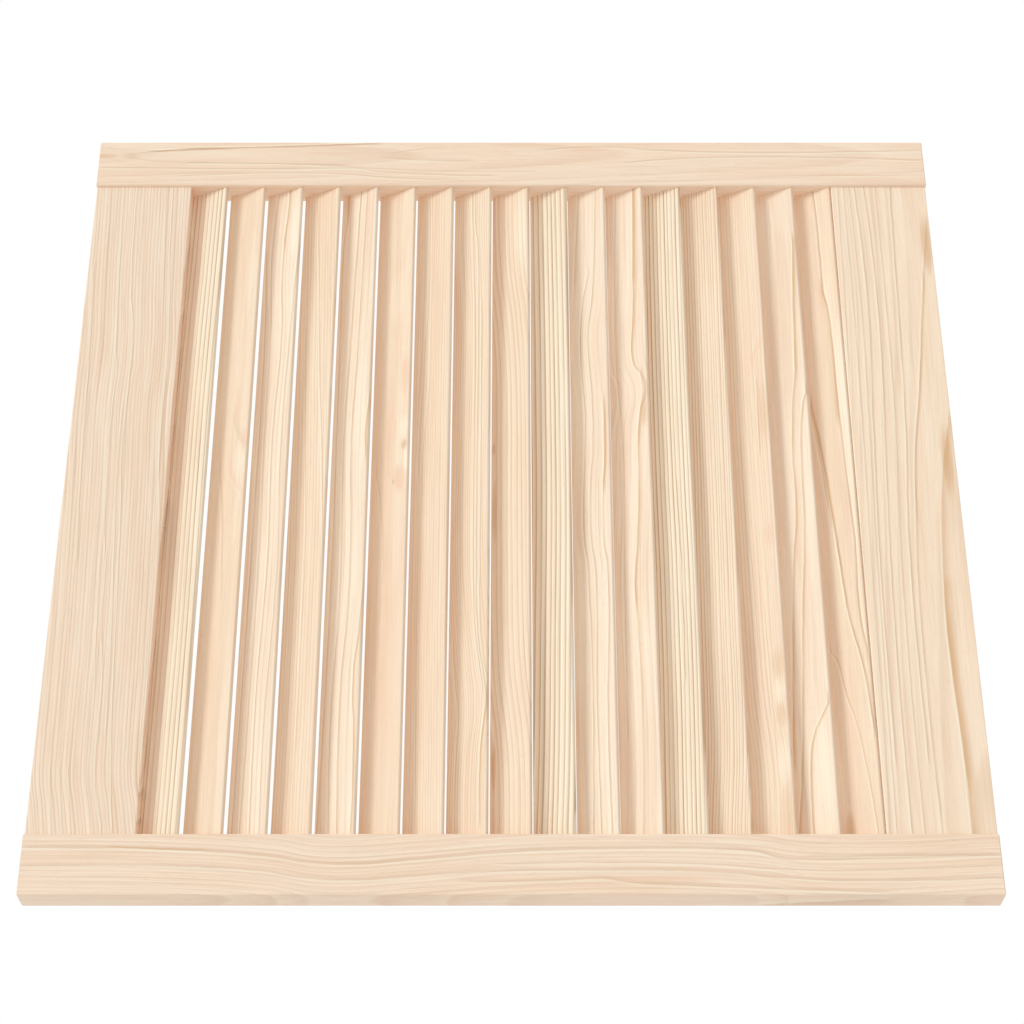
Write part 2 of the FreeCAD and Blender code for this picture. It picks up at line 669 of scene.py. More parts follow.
@dataclass(frozen=True)
class EndGrain:
    """How squarely the grain runs out of the surface."""

    facing_range: Pair = (0.3, 0.9)

    def build(self) -> Tree:
        """Draw the group.

        Returns:
            The group.
        """
        sheet = GroupSheet("End grain", {"Along": "v"}, {"Mask": "f"})
        normal = sheet.node("ShaderNodeNewGeometry").outputs["Normal"]
        facing = sheet.math("ABSOLUTE", sheet.vector("DOT_PRODUCT", normal, sheet.given["Along"]))
        return sheet.give(Mask=sheet.ramp(facing, *self.facing_range))


@dataclass(frozen=True)
class SawnWood:
    """Colour, roughness and relief of sawn wood from its rings and fibres.

    Shares are how strongly a colour shows, and ranges the noise over which it comes in.
    """

    blush_range: Pair = (0.35, 0.7)
    early_share: float = 0.6
    dark_streak_range: Pair = (0.5, 0.8)
    pale_streak_range: Pair = (0.2, 0.5)
    streak_share: float = 0.5
    fine_range: Pair = (0.2, 0.8)
    fine_light: Pair = (0.955, 1.04)
    canal_share: float = 0.2
    end_share: float = 0.35
    roughness: float = 0.52
    fine_roughness: float = 0.16
    late_roughness: float = -0.10
    end_roughness: float = 0.12
    fine_height: float = 0.5
    late_height: float = 0.6
    canal_height: float = -0.5

    def build(self) -> Tree:
        """Draw the group.

        Returns:
            The group.
        """
        sheet = GroupSheet("Sawn wood", {"Early Colour": "c", "Late Colour": "c", "Blush Colour": "c",
                                         "Contrast": "f", "Streaks": "f", "Late": "f", "Early": "f",
                                         "Fine": "f", "Streak": "f", "Broad": "f", "Canal": "f",
                                         "End": "f"}, {"Colour": "c", "Roughness": "f", "Height": "f"})
        given = sheet.given
        late_tone = given["Late Colour"]
        pale_tone = MarkTone.PALE.value
        blush = sheet.ramp(given["Broad"], *self.blush_range)
        colour = sheet.mix(blush, given["Early Colour"], given["Blush Colour"])
        early = sheet.math("MULTIPLY", given["Contrast"], self.early_share)
        colour = sheet.mix(sheet.math("MULTIPLY", given["Early"], early), colour, pale_tone)
        late = sheet.math("MULTIPLY", given["Late"], given["Contrast"])
        colour = sheet.mix(late, colour, late_tone)
        dark_streak = sheet.ramp(given["Streak"], *self.dark_streak_range, 0.0, self.streak_share)
        dark_streak = sheet.math("MULTIPLY", dark_streak, given["Streaks"])
        colour = sheet.mix(dark_streak, colour, late_tone)
        pale_streak = sheet.ramp(given["Streak"], *self.pale_streak_range, self.streak_share, 0.0)
        pale_streak = sheet.math("MULTIPLY", pale_streak, given["Streaks"])
        colour = sheet.mix(pale_streak, colour, pale_tone)
        fine = sheet.ramp(given["Fine"], *self.fine_range, *self.fine_light)
        colour = sheet.mix(1.0, colour, sheet.join(fine, fine, fine), "MULTIPLY")
        canal = sheet.math("MULTIPLY", given["Canal"], self.canal_share)
        colour = sheet.mix(canal, colour, MarkTone.BROWN.value)
        colour = sheet.mix(sheet.math("MULTIPLY", given["End"], self.end_share), colour, late_tone)
        rough = sheet.math("MULTIPLY_ADD", given["Fine"], self.fine_roughness, self.roughness)
        rough = sheet.math("MULTIPLY_ADD", late, self.late_roughness, rough)
        rough = sheet.math("MULTIPLY_ADD", given["End"], self.end_roughness, rough)
        height = sheet.math("MULTIPLY", late, self.late_height)
        height = sheet.math("MULTIPLY_ADD", given["Fine"], self.fine_height, height)
        height = sheet.math("MULTIPLY_ADD", given["Canal"], self.canal_height, height)
        return sheet.give(Colour=colour, Roughness=rough, Height=height)


class GrainGroups:
    """The node groups that every wooden piece shares, each built once."""

    def __init__(self) -> None:
        """Build all the groups."""
        self.place = place_group()
        self.bend = bend_group()
        self.rings = GrowthRings().build()
        self.edge = RingEdge().build()
        self.fibre = WoodFibre().build()
        self.mark = SoftMark().build()
        self.end_grain = EndGrain().build()
        self.wood = SawnWood().build()


@dataclass(frozen=True)
class GrainFrame:
    """Which way a board lies: its middle, and the ways along, across and out of its front face.

    Top is how far the front face lies from the middle, in millimetres.
    """

    centre: Triple
    along: Triple
    across: Triple
    face: Triple
    top: float


@dataclass(frozen=True)
class WoodFinish:
    """Bare sanded wood for one piece, with its own figure."""

    name: str
    figure: GrainFigure
    frame: GrainFrame
    relief: float = 0.00012
    relief_strength: float = 0.35
    specular: float = 0.3

    def build(self, groups: GrainGroups) -> bpy.types.Material:
        """Make the piece's material.

        Args:
            groups: The shared node groups.

        Returns:
            The material.
        """
        material = bpy.data.materials.new(self.name)
        material.use_nodes = True
        sheet = Sheet(material.node_tree)
        figure = self.figure
        tone = figure.tone.value
        board = sheet.place(groups.place, Centre=self.frame.centre, Along=self.frame.along,
                            Across=self.frame.across, Face=self.frame.face)["Place"]
        place = self.bent(sheet, groups, board)
        rings = sheet.place(groups.rings, Place=place, Pith=(0.0, *figure.pith),
                            Lean=(0.0, *figure.lean), Spacing=figure.spacing, Wander=figure.wander,
                            Uneven=figure.uneven, Late_Share=figure.late_share, Start=figure.start)
        fibre = sheet.place(groups.fibre, Place=place, Start=figure.start)
        end = sheet.place(groups.end_grain, Along=self.frame.along)["Mask"]
        wood = sheet.place(groups.wood, Early_Colour=tone.early, Late_Colour=tone.late,
                           Blush_Colour=tone.blush, Contrast=figure.contrast, Streaks=figure.streaks,
                           Late=rings["Late"], Early=rings["Early"], Fine=fibre["Fine"],
                           Streak=fibre["Streak"], Broad=fibre["Broad"], Canal=fibre["Canal"], End=end)
        colour = self.lined(sheet, groups, board, wood["Colour"])
        for mark in figure.marks:
            mask = sheet.place(groups.mark, Place=board, Spot=(mark.along, mark.across, 0.0),
                               Reach=mark.reach, Width=mark.width, Strength=mark.strength,
                               Streak=fibre["Streak"])["Mask"]
            colour = sheet.mix(mask, colour, mark.tone.value)
        bump = sheet.node("ShaderNodeBump")
        bump.inputs["Strength"].default_value = self.relief_strength
        bump.inputs["Distance"].default_value = self.relief
        sheet.feed(bump.inputs["Height"], wood["Height"])
        shader = material.node_tree.nodes["Principled BSDF"].inputs
        sheet.feed(shader["Base Color"], colour)
        sheet.feed(shader["Roughness"], wood["Roughness"])
        sheet.feed(shader["Normal"], bump.outputs["Normal"])
        shader["Specular IOR Level"].default_value = self.specular
        return material

    def bent(self, sheet: Sheet, groups: GrainGroups, board: Socket) -> Socket:
        """Follow the grain's drift and bends.

        Args:
            sheet: The material's tree.
            groups: The shared node groups.
            board: Where a point lies in the board.

        Returns:
            Where it lies in grain that runs straight.
        """
        place = board
        if self.figure.drift:
            drift = sheet.curve(sheet.split(board)[0], self.figure.drift)
            place = sheet.vector("SUBTRACT", place, sheet.join(0.0, drift, 0.0))
        for bend in self.figure.bends:
            place = sheet.place(groups.bend, Place=place, Spot=(bend.along, bend.across, 0.0),
                                Reach=bend.reach, Width=bend.width, Shift=bend.shift)["Place"]
        return place

    def lined(self, sheet: Sheet, groups: GrainGroups, board: Socket, colour: Socket) -> Socket:
        """Draw the figure's ring edges over the wood.

        Args:
            sheet: The material's tree.
            groups: The shared node groups.
            board: Where a point lies in the board.
            colour: The wood's colour.

        Returns:
            The colour with the edges on it.
        """
        along = sheet.split(board)[0]
        for line in self.figure.lines:
            edge = sheet.place(groups.edge, Place=board, Path=sheet.curve(along, line.path),
                               From=line.path[0][0], To=line.path[-1][0], Top=self.frame.top,
                               Below=line.below, Above=line.above, Strength=line.strength,
                               Pale_Share=line.pale)
            colour = sheet.mix(edge["Pale"], colour, MarkTone.PALE.value)
            colour = sheet.mix(edge["Dark"], colour, line.tone.value)
        return colour


def dress(name: str, finish: WoodFinish, groups: GrainGroups, nodes: Pieces) -> None:
    """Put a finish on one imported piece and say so.

    Args:
        name: The piece.
        finish: Its finish.
        groups: The shared node groups.
        nodes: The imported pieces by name.
    """
    nodes[name].data.materials[0] = finish.build(groups)
    LOG.info("%s: %s", name, finish.figure.tone.name.lower())


def middle(node: str) -> Triple:
    """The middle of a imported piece's box."""
    low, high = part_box(node)
    return tuple((low + high) / 2)


def half_thickness(node: str) -> float:
    """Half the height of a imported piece's box, in millimetres."""
    low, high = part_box(node)
    return (high.z - low.z) / 2 * MM_PER_M


# The stiles' figures, which show the tips of a few cut-through rings
STILE_FIGURES: Figures = {
    "stile_left": GrainFigure(
        (-150.0, 0.0), 3.4, Tone.FRAME, contrast=0.26, uneven=1.4, start=3.1,
        drift=((-300, 4), (-200, 2), (-150, -2), (-115, -7), (-60, -4), (0, 1), (80, 3), (150, 1),
               (190, -4), (300, -1)),
        lines=(
            GrainLine(((-300, 11), (-200, 9), (-150, 5), (-130, 1.5), (-100, 0), (-60, 3), (0, 8),
                       (80, 10.5), (150, 9), (175, 3), (200, 3), (300, 6)), 0.8, 3.4, 0.55),
            GrainLine(((-300, -1), (-160, -4), (-130, -9), (-100, -10.5), (-60, -8), (-20, -5),
                       (40, -4), (130, -5), (170, -9), (220, -11), (300, -9)), 0.8, 3.0, 0.5),
            GrainLine(((-245, 11), (-220, 9.8), (-200, 9)), 0.5, 1.8, 0.6, MarkTone.RESIN),
            GrainLine(((0, 0), (50, 1), (120, 0), (180, -4), (230, -4), (300, -1)), 0.5, 1.4, 0.5),
            GrainLine(((-25, -11.5), (20, -11), (55, -9.5), (75, -12), (110, -14), (160, -16),
                       (230, -18.5)), 0.8, 3.2, 0.5),
            GrainLine(((195, 5), (240, 5.5), (280, 6)), 0.5, 2.2, 0.5),
        ),
        marks=(Mark(95, -10, 38, 2.6, MarkTone.PINK, 0.5),),
    ),
    "stile_right": GrainFigure(
        (8.0, -40.0), 3.6, Tone.FRAME, (0.0, -0.02), contrast=0.2, start=8.6,
        lines=(
            GrainLine(((-280, 9.4), (-272, 10.8), (-262, 12)), 2.4, 1.2, 0.4, pale=0.2),
            GrainLine(((-262, 12), (-230, 14), (-190, 15.5), (-150, 17), (-105, 19)), 1.8, 0.6, 0.8,
                      MarkTone.BROWN),
            GrainLine(((-278, 4.4), (-268, 2.5), (-235, 0.5)), 1.2, 2.2, 0.3, pale=0.3),
            GrainLine(((-235, 0.5), (-200, 0), (-130, -1.5)), 0.5, 1.8, 0.75),
            GrainLine(((-88, 10.2), (-80, 12), (-60, 15)), 1.8, 0.8, 0.35, pale=0.3),
            GrainLine(((-88, 5.2), (-80, 4), (-35, 2)), 0.7, 3.4, 0.45),
            GrainLine(((-300, -4), (-150, -5), (-120, -4.5), (-95, -8), (-60, -10.5), (-20, -11.5)),
                      0.5, 1.6, 0.6),
            GrainLine(((-150, -1), (-112, -4), (-90, -5.5), (-40, -7.5), (10, -8)), 0.5, 1.4, 0.5),
            GrainLine(((-240, -11.5), (-150, -8.8), (-125, -10), (-95, -13), (-60, -15)), 0.5, 1.4,
                      0.6),
            GrainLine(((30, 13), (50, 15), (85, 15), (105, 12.5), (300, 12)), 0.5, 1.8, 0.6),
            GrainLine(((90, 1), (120, 4), (180, 6), (300, 3)), 0.5, 1.8, 0.6),
            GrainLine(((190, -12), (300, -11)), 0.5, 1.2, 0.5),
        ),
        marks=(
            Mark(-306, 7, 14, 2.6, MarkTone.RESIN, 0.4), Mark(-284, 7.2, 7, 2.8, MarkTone.TAN, 0.35),
            Mark(-228, 14.3, 24, 1.2, MarkTone.BROWN, 0.5), Mark(55, 13, 18, 2.6, MarkTone.PINK, 0.5),
        ),
    ),
}

# The rails' figures: fine slanting rings on one and wide curving ones on the other
RAIL_FIGURES: Figures = {
    "rail_top": GrainFigure(
        (-150.0, -20.0), 2.4, Tone.FRAME, contrast=0.48, uneven=1.6, start=1.7, wander=0.9, streaks=0.5,
        drift=((-256, 13), (-235, 9.5), (-215, 6), (-190, 5), (-140, 4), (0, 0), (60, -2.5),
               (120, -2.5), (160, -5), (256, -8)),
        bends=(Bend(97, 12, 8, 8, 1.0),),
        lines=(
            GrainLine(((-250, 20), (-225, 17), (-150, 12), (-70, 8.5), (-20, 6), (25, 3), (100, 3),
                       (130, 2), (165, -2), (256, -5)), 0.4, 1.1, 0.75),
            GrainLine(((-180, 10), (-120, 8), (-50, 4), (0, 1.5), (60, 0)), 0.4, 1.1, 0.7),
            GrainLine(((-250, 13), (-235, 9.5), (-215, 6), (-145, 4.5), (-110, 1), (-60, -0.5)), 0.4,
                      1.0, 0.7),
            GrainLine(((-150, 0), (-100, -3), (-60, -4.5)), 0.4, 0.9, 0.6),
            GrainLine(((-50, -2), (-30, -4), (0, -5), (60, -7), (97, -6.5), (112, -8.5), (150, -10.5),
                       (256, -15)), 0.4, 1.0, 0.7),
            GrainLine(((-25, 33), (20, 29.5), (80, 28.5), (110, 28.5), (150, 26.5), (200, 23.5),
                       (256, 21.5)), 0.5, 1.2, 0.6),
            GrainLine(((15, 29.5), (45, 28.5), (80, 28.5)), 0.5, 2.2, 0.5, MarkTone.RESIN),
            GrainLine(((150, 22), (200, 19.5), (256, 16)), 0.4, 0.9, 0.5),
            GrainLine(((-55, -20.5), (0, -23.5), (60, -25.5), (120, -27.5), (180, -30.5)), 0.5, 1.4,
                      0.7),
            GrainLine(((-95, -24.5), (-40, -27), (20, -30)), 0.4, 1.0, 0.5),
            GrainLine(((-256, -5.5), (-235, -8.5), (-212, -11.5)), 0.4, 1.0, 0.6),
            GrainLine(((-256, -11), (-235, -14), (-212, -17)), 0.4, 1.0, 0.6),
            GrainLine(((-256, -18), (-235, -20.5), (-212, -23)), 0.4, 1.0, 0.6),
        ),
    ),
    "rail_bottom": GrainFigure(
        (34.0, -84.0), 4.1, Tone.BRIGHT, (0.0, -0.015), contrast=0.25, start=5.2,
        drift=((-256, -2), (-100, -2), (0, 1), (100, 5), (180, 6), (256, 4)),
        lines=(
            GrainLine(((-256, 19), (-180, 18.5), (-110, 17), (-70, 18.5), (-10, 23), (50, 33)), 0.9,
                      5.0, 0.45, MarkTone.RESIN),
            GrainLine(((-256, 19), (-200, 19.5), (-180, 18.5), (-110, 17), (-80, 18)), 0.9, 8.0, 0.6,
                      MarkTone.RESIN),
            GrainLine(((-256, 0), (-100, 0), (-60, 1.5), (-20, 4), (30, 8), (70, 14), (120, 20),
                       (170, 26), (225, 33)), 0.5, 2.2, 0.6),
            GrainLine(((-20, 4), (30, 8), (70, 14), (120, 20), (170, 26)), 0.5, 2.4, 0.5,
                      MarkTone.RESIN),
            GrainLine(((-200, -4), (-40, -2.5), (50, 3), (150, 6), (256, 8.5)), 0.5, 1.8, 0.8),
            GrainLine(((-250, -11), (-120, -10.5), (-30, -8), (50, -4), (100, -3), (256, -2.5)), 0.5,
                      1.6, 0.6),
            GrainLine(((-250, -19), (-100, -17.5), (0, -14), (100, -9.5), (180, -8.5), (256, -11)), 0.5,
                      1.6, 0.8),
            GrainLine(((-200, -25), (-60, -23.5), (50, -19.5), (150, -15.5), (256, -18)), 0.5, 1.6,
                      0.8),
            GrainLine(((-250, -28.5), (-60, -25.5), (50, -22.5), (150, -20.5), (256, -22)), 0.5, 1.4,
                      0.55),
            GrainLine(((-250, -33), (-180, -31), (-60, -29.5), (60, -27), (256, -26)), 0.5, 1.4, 0.55),
            GrainLine(((100, -33), (180, -31.5), (256, -30)), 0.5, 1.4, 0.55),
        ),
        marks=(
            Mark(20, 29, 32, 4.2, MarkTone.RESIN, 0.6), Mark(203, 31, 28, 4.4, MarkTone.RESIN, 0.6),
            # Painted light: a pale strip along the inner arris is a painted highlight that also lightens
            # the crack beside slat_17
            Mark(0, -35.2, 900, 0.9, MarkTone.PALE, 0.6),
        ),
    ),
}


@dataclass
class FrameBoards:
    """The two stiles and the two rails, which lie flat with the front face up."""

    groups: GrainGroups

    def dress(self, nodes: Pieces) -> None:
        """Give each board its own pine.

        Args:
            nodes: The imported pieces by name.
        """
        for figures, along, across in ((STILE_FIGURES, LENGTHWISE, CROSSWISE),
                                       (RAIL_FIGURES, CROSSWISE, LENGTHWISE)):
            for name, figure in figures.items():
                frame = GrainFrame(middle(name), along, across, FRONTWARD, half_thickness(name))
                dress(name, WoodFinish(f"pine_{name}", figure, frame), self.groups, nodes)


# The slats' figures, from the top rail to the bottom rail
SLAT_FIGURES: Figures = {
    "slat_01": GrainFigure(
        QUARTER_SAWN, 3.7, Tone.STRIPED, contrast=0.85, uneven=0.5, start=0.7, wander=0.3,
        drift=((-250, 0.3), (-120, 0.8), (20, -0.2), (100, 0), (180, 1.2), (250, 2)),
        lines=(GrainLine(((-250, -7.8), (0, -8), (250, -7.4)), 0.6, 1.2, 0.3, MarkTone.BROWN),),
        # Painted light on the shaded low side: a pink tint stands in for warm light bounced off the
        # rail, and a pale strip lightens the valley against the rail
        marks=(Mark(0, -7, 700, 5, MarkTone.PINK, 0.3), Mark(0, -14, 700, 3.5, MarkTone.PALE, 0.4)),
    ),
    "slat_02": GrainFigure(
        PLAIN_SAWN, 4.0, Tone.PEACH, contrast=0.15, start=1.3,
        lines=(
            GrainLine(((-5, 13), (1, 8), (15, 1)), 2.0, 5.0, 0.35, MarkTone.PINK, 0.3),
            GrainLine(((34, 12), (42, 7), (58, 2)), 2.0, 6.0, 0.3, MarkTone.TAN, 0.2),
            GrainLine(((-80, 2), (-50, 0), (-20, -2), (0, -4.5), (15, -7)), 0.5, 1.8, 0.32,
                      MarkTone.BROWN),
        ),
        marks=(
            Mark(38, 12, 10, 3.4, MarkTone.PINK, 0.6), Mark(20, 9, 18, 5, MarkTone.PALE, 0.3),
            Mark(68, 5, 16, 3.0, MarkTone.PINK, 0.3), Mark(180, 8, 40, 4, MarkTone.PALE, 0.2),
        ),
    ),
    "slat_03": GrainFigure(
        QUARTER_SAWN, 3.3, Tone.CREAM, contrast=0.2, start=2.3,
        drift=((-250, -0.5), (-150, -1.5), (-60, 1), (40, -1), (130, 1), (180, -1.5), (256, 1)),
        lines=(
            GrainLine(((-250, 10), (-180, 8.8), (-60, 12), (30, 9.5), (150, 12.5), (200, 15)), 0.5, 1.6,
                      0.75),
            GrainLine(((-250, 2.5), (-150, 1.5), (-60, 4), (40, 2), (130, 4.5), (180, 2), (215, 3),
                       (256, 5)), 0.5, 1.6, 0.85),
            GrainLine(((-250, -5), (-30, -3.5), (50, -5), (130, -5), (200, -8), (256, -5)), 0.5, 1.6,
                      0.7),
            GrainLine(((-250, -11), (-30, -9.5), (130, -10), (200, -13)), 0.5, 1.6, 0.7),
            GrainLine(((210, 2), (222, 2.8), (234, 4.2), (256, 4.5)), 0.4, 2.4, 0.7, MarkTone.RESIN),
        ),
        marks=(Mark(225, 11, 32, 4, MarkTone.PALE, 0.35),),
    ),
    "slat_04": GrainFigure(
        QUARTER_SAWN, 2.5, Tone.PEACH, contrast=0.4, start=3.3,
        drift=((-250, 0), (-80, 0), (0, -1.5), (100, -5), (250, -10)),
        lines=(
            GrainLine(((-45, 14.5), (0, 12), (50, 8.8), (100, 5), (150, 2.5), (230, -2.5)), 0.4, 1.2,
                      0.7),
            GrainLine(((-100, 1), (-40, 0.5), (0, -1.5), (50, -4.5), (120, -8)), 0.4, 1.0, 0.6),
            GrainLine(((-230, 0.3), (-130, 1), (-60, 0)), 0.4, 1.0, 0.5),
        ),
    ),
    "slat_05": GrainFigure(
        QUARTER_SAWN, 6.0, Tone.CREAM, contrast=0.2, start=4.3,
        drift=((-250, -0.5), (-150, -2), (-70, 1.5), (40, -1.5), (150, 1), (256, 3.5)),
        lines=(
            GrainLine(((-250, 12.5), (-190, 12), (-150, 10), (-110, 13), (-80, 15)), 0.5, 2.0, 0.7,
                      MarkTone.RESIN),
            GrainLine(((-250, 2), (-150, 0.5), (-90, 3.8), (-50, 4), (40, 1), (100, 3), (256, 6.5)),
                      0.5, 1.8, 0.75),
            GrainLine(((-250, -4.5), (-170, -6), (-80, -3), (40, -5), (150, -2), (256, 1)), 0.5, 1.6,
                      0.75),
            GrainLine(((-250, -13), (-70, -10.5), (150, -12), (215, -12), (235, -10), (256, -9.5)), 0.5,
                      1.6),
            GrainLine(((28, 13), (45, 12.5), (68, 14.5)), 0.5, 3.0, 0.7, MarkTone.RESIN),
            GrainLine(((200, 0), (230, 0.5), (256, 1)), 0.4, 1.2, 0.5, MarkTone.BROWN),
        ),
        marks=(
            Mark(248, -9.5, 20, 1.6, MarkTone.RESIN, 0.6), Mark(225, 8, 40, 2.0, MarkTone.PINK, 0.45),
            Mark(0, 8, 200, 4, MarkTone.PALE, 0.3),
        ),
    ),
    "slat_06": GrainFigure(
        PLAIN_SAWN, 4.0, Tone.PEACH, contrast=0.15, start=5.3,
        lines=(
            GrainLine(((-4, 13), (1, 8), (15, -2)), 2.0, 5.0, 0.3, MarkTone.PINK, 0.2),
            GrainLine(((-60, -2), (-20, -5), (15, -10)), 0.5, 2.0, 0.25, MarkTone.BROWN),
        ),
        marks=(
            Mark(33, 11.5, 5, 2.4, MarkTone.BROWN, 0.5), Mark(20, 13, 13, 2.2, MarkTone.PALE, 0.55),
            Mark(48, 11, 11, 4, MarkTone.PALE, 0.4), Mark(7, 8.5, 12, 5.5, MarkTone.PINK, 0.75),
            Mark(5, 4, 2.5, 1.2, MarkTone.BROWN, 0.35), Mark(92, 11, 20, 3.2, MarkTone.PINK, 0.6),
            Mark(160, 3, 26, 6, MarkTone.PALE, 0.22), Mark(-130, 4, 140, 14, MarkTone.PINK, 0.2),
        ),
    ),
    "slat_07": GrainFigure(
        QUARTER_SAWN, 2.0, Tone.PEACH, contrast=0.3, start=6.3,
        drift=((-250, 1.5), (-100, 0), (250, -0.5)),
        lines=(
            GrainLine(((0, -5.5), (30, -5.5), (60, -3), (80, -1.5), (140, -0.8), (256, -2)), 0.4, 1.0,
                      0.55),
            GrainLine(((20, -8.8), (60, -8), (80, -6.5), (120, -5.5), (150, -3.5), (256, -4.5)), 0.4,
                      1.0, 0.55),
            GrainLine(((30, -11), (60, -10.5), (110, -8.5), (150, -7), (200, -7)), 0.4, 1.0, 0.45),
            GrainLine(((-250, -5), (-160, -6.5)), 0.4, 1.0, 0.5),
        ),
    ),
    "slat_08": GrainFigure(
        QUARTER_SAWN, 1.9, Tone.PEACH, contrast=0.4, uneven=0.8, start=7.3,
        drift=((-250, 4), (-200, 5), (-165, 8), (-130, 4.5), (-90, 0.5), (-60, -1.5), (150, -1.5),
               (210, -4), (256, -4)),
        lines=(
            GrainLine(((-240, 9.7), (-200, 10), (-175, 12.5), (-160, 14.5)), 0.5, 1.8, 0.75,
                      MarkTone.RESIN),
            GrainLine(((-148, 15), (-125, 11), (-100, 9), (-60, 8.6), (0, 8.8), (150, 8.5)), 0.4, 1.2,
                      0.8),
            GrainLine(((-160, 14), (-140, 11.5), (-125, 9), (-105, 7), (-80, 6), (0, 5.6), (150, 6),
                       (205, 5), (225, 3), (256, 2.5)), 0.4, 1.2, 0.8),
            GrainLine(((-150, 11), (-130, 8), (-110, 5.5), (-90, 4.2), (-50, 3.5), (150, 2.8),
                       (256, -0.5)), 0.4, 1.2, 0.75),
            GrainLine(((-250, -8.5), (-200, -8), (-170, -6.5), (-150, -8.5), (-120, -11)), 0.4, 1.2,
                      0.6),
        ),
        marks=(Mark(-162, 14.3, 14, 1.4, MarkTone.BROWN, 0.35),),
    ),
    "slat_09": GrainFigure(
        QUARTER_SAWN, 3.8, Tone.PEACH, contrast=0.48, start=8.3,
        drift=((-256, 7), (-205, 6.5), (-180, 4.5), (-160, 2), (-140, -0.3), (-110, -1.8), (-60, -2.5),
               (60, -2.7), (90, -3.2), (120, -4.5), (150, -7), (185, -11), (220, -12.5), (256, -13)),
        marks=(
            Mark(-205, -12, 18, 2.0, MarkTone.RESIN, 0.6), Mark(-15, -12, 28, 2.0, MarkTone.RESIN, 0.5),
            Mark(36, -12.5, 6, 1.6, MarkTone.BROWN, 0.5), Mark(225, 8, 50, 6, MarkTone.PALE, 0.35),
        ),
    ),
    "slat_10": GrainFigure(
        QUARTER_SAWN, 3.7, Tone.STRIPED, contrast=0.9, uneven=0.7, start=9.1, wander=0.3,
        late_share=0.52,
        drift=((-250, -5.5), (-200, -3.5), (-100, -1.5), (0, 0), (50, 0), (250, -1.5)),
    ),
    "slat_11": GrainFigure(
        QUARTER_SAWN, 4.5, Tone.CREAM, contrast=0.15, start=10.3,
        drift=((-250, 1), (-160, 0), (-60, 1), (-40, -1.5), (10, -1), (30, 1), (80, 1), (110, -1),
               (130, -1), (160, 3), (256, 6)),
        lines=(
            GrainLine(((-250, 10), (-180, 9), (-60, 11), (-45, 9), (0, 9.5), (20, 11), (60, 11.5)), 0.5,
                      1.8, 0.8),
            GrainLine(((-250, 2.5), (-160, 1.5), (-60, 2), (-40, -0.5), (10, 0), (30, 2), (80, 2),
                       (110, 0), (130, 0), (160, 4), (256, 8)), 0.5, 1.8, 0.8),
            GrainLine(((-250, -3), (-60, -3.5), (-35, -6), (0, -5.5), (60, -3.5), (110, -6), (130, -6),
                       (180, 1)), 0.5, 1.6, 0.8),
            GrainLine(((180, -10), (256, -5.5)), 0.5, 1.6),
            GrainLine(((-60, 7), (-45, 5.5), (0, 5.5)), 0.4, 1.4, 0.45),
            GrainLine(((5, 9.2), (20, 10.6), (45, 11), (66, 11)), 0.5, 3.4, 0.72, MarkTone.RESIN),
        ),
    ),
    "slat_12": GrainFigure(
        QUARTER_SAWN, 5.0, Tone.CREAM, contrast=0.2, start=11.3,
        drift=((-256, -3), (-180, -1), (-75, -3), (0, 1), (50, 3), (78, 7), (108, 0), (200, 3),
               (256, 4)),
        lines=(
            GrainLine(((-256, 1), (-180, 3), (-110, 2), (-85, 0.8)), 0.5, 2.6, 0.45, MarkTone.RESIN),
            GrainLine(((-85, 0.8), (-75, 0.5), (-40, 3.5), (0, 5.5), (50, 7), (65, 9), (78, 12.5),
                       (90, 10.5), (108, 3.5), (150, 5.5), (200, 7), (256, 8.5)), 0.5, 3.0, 0.75,
                      MarkTone.RESIN),
            GrainLine(((-180, -8), (-60, -7), (30, -5.5), (110, -9), (256, -6)), 0.5, 1.6, 0.5),
            GrainLine(((180, 6), (220, 7.2), (256, 7.8)), 0.5, 4.5, 0.6, MarkTone.RESIN),
            GrainLine(((45, 6.5), (65, 9), (78, 11), (90, 10)), 0.5, 3.5, 0.4, MarkTone.RESIN),
        ),
        marks=(Mark(62, 11.5, 16, 3.0, MarkTone.RESIN, 0.45),),
    ),
    "slat_13": GrainFigure(
        QUARTER_SAWN, 3.0, Tone.STRIPED, contrast=1.0, uneven=0.8, start=12.6, wander=0.3,
        drift=((-250, -2), (-60, 0.5), (0, 0), (120, 0.3), (250, 2)),
        lines=(GrainLine(((-140, 4), (-60, 4.5), (0, 3.5)), 0.4, 1.2, 0.9, MarkTone.BROWN),),
    ),
    "slat_14": GrainFigure(
        QUARTER_SAWN, 2.2, Tone.PEACH, contrast=0.75, uneven=0.8, start=13.3,
        drift=((-250, -6), (-225, -4), (-200, -2), (-100, 0), (250, 5)),
    ),
    "slat_15": GrainFigure(
        QUARTER_SAWN, 2.4, Tone.ROSY, contrast=0.35, start=14.3,
        drift=((-256, 0), (-210, 1), (-160, -2.5), (-100, -4), (256, -3)),
        lines=(
            GrainLine(((-250, 1), (-210, 2), (-185, 0.5), (-160, -1.5), (-110, -3), (-60, -4)), 0.4,
                      1.0, 0.6),
            GrainLine(((-190, 5), (-150, 4), (-100, 3)), 0.4, 1.0, 0.5),
            GrainLine(((106, 5), (111, 7), (116, 14)), 3.0, 3.0, 0.5, MarkTone.PINK),
            GrainLine(((35, 6.5), (60, 7), (82, 7.5)), 0.5, 1.2, 0.6, MarkTone.RESIN),
        ),
        marks=(
            Mark(-245, 10, 26, 6, MarkTone.RESIN, 0.28), Mark(-205, 10, 16, 5, MarkTone.PALE, 0.3),
            Mark(-172, 10, 10, 5, MarkTone.RESIN, 0.3), Mark(-155, 10, 10, 5, MarkTone.PALE, 0.3),
            Mark(-135, 10, 12, 5, MarkTone.RESIN, 0.26), Mark(-38, 10, 10, 5, MarkTone.PINK, 0.4),
            Mark(60, 11, 26, 5, MarkTone.RESIN, 0.26),
        ),
    ),
    "slat_16": GrainFigure(
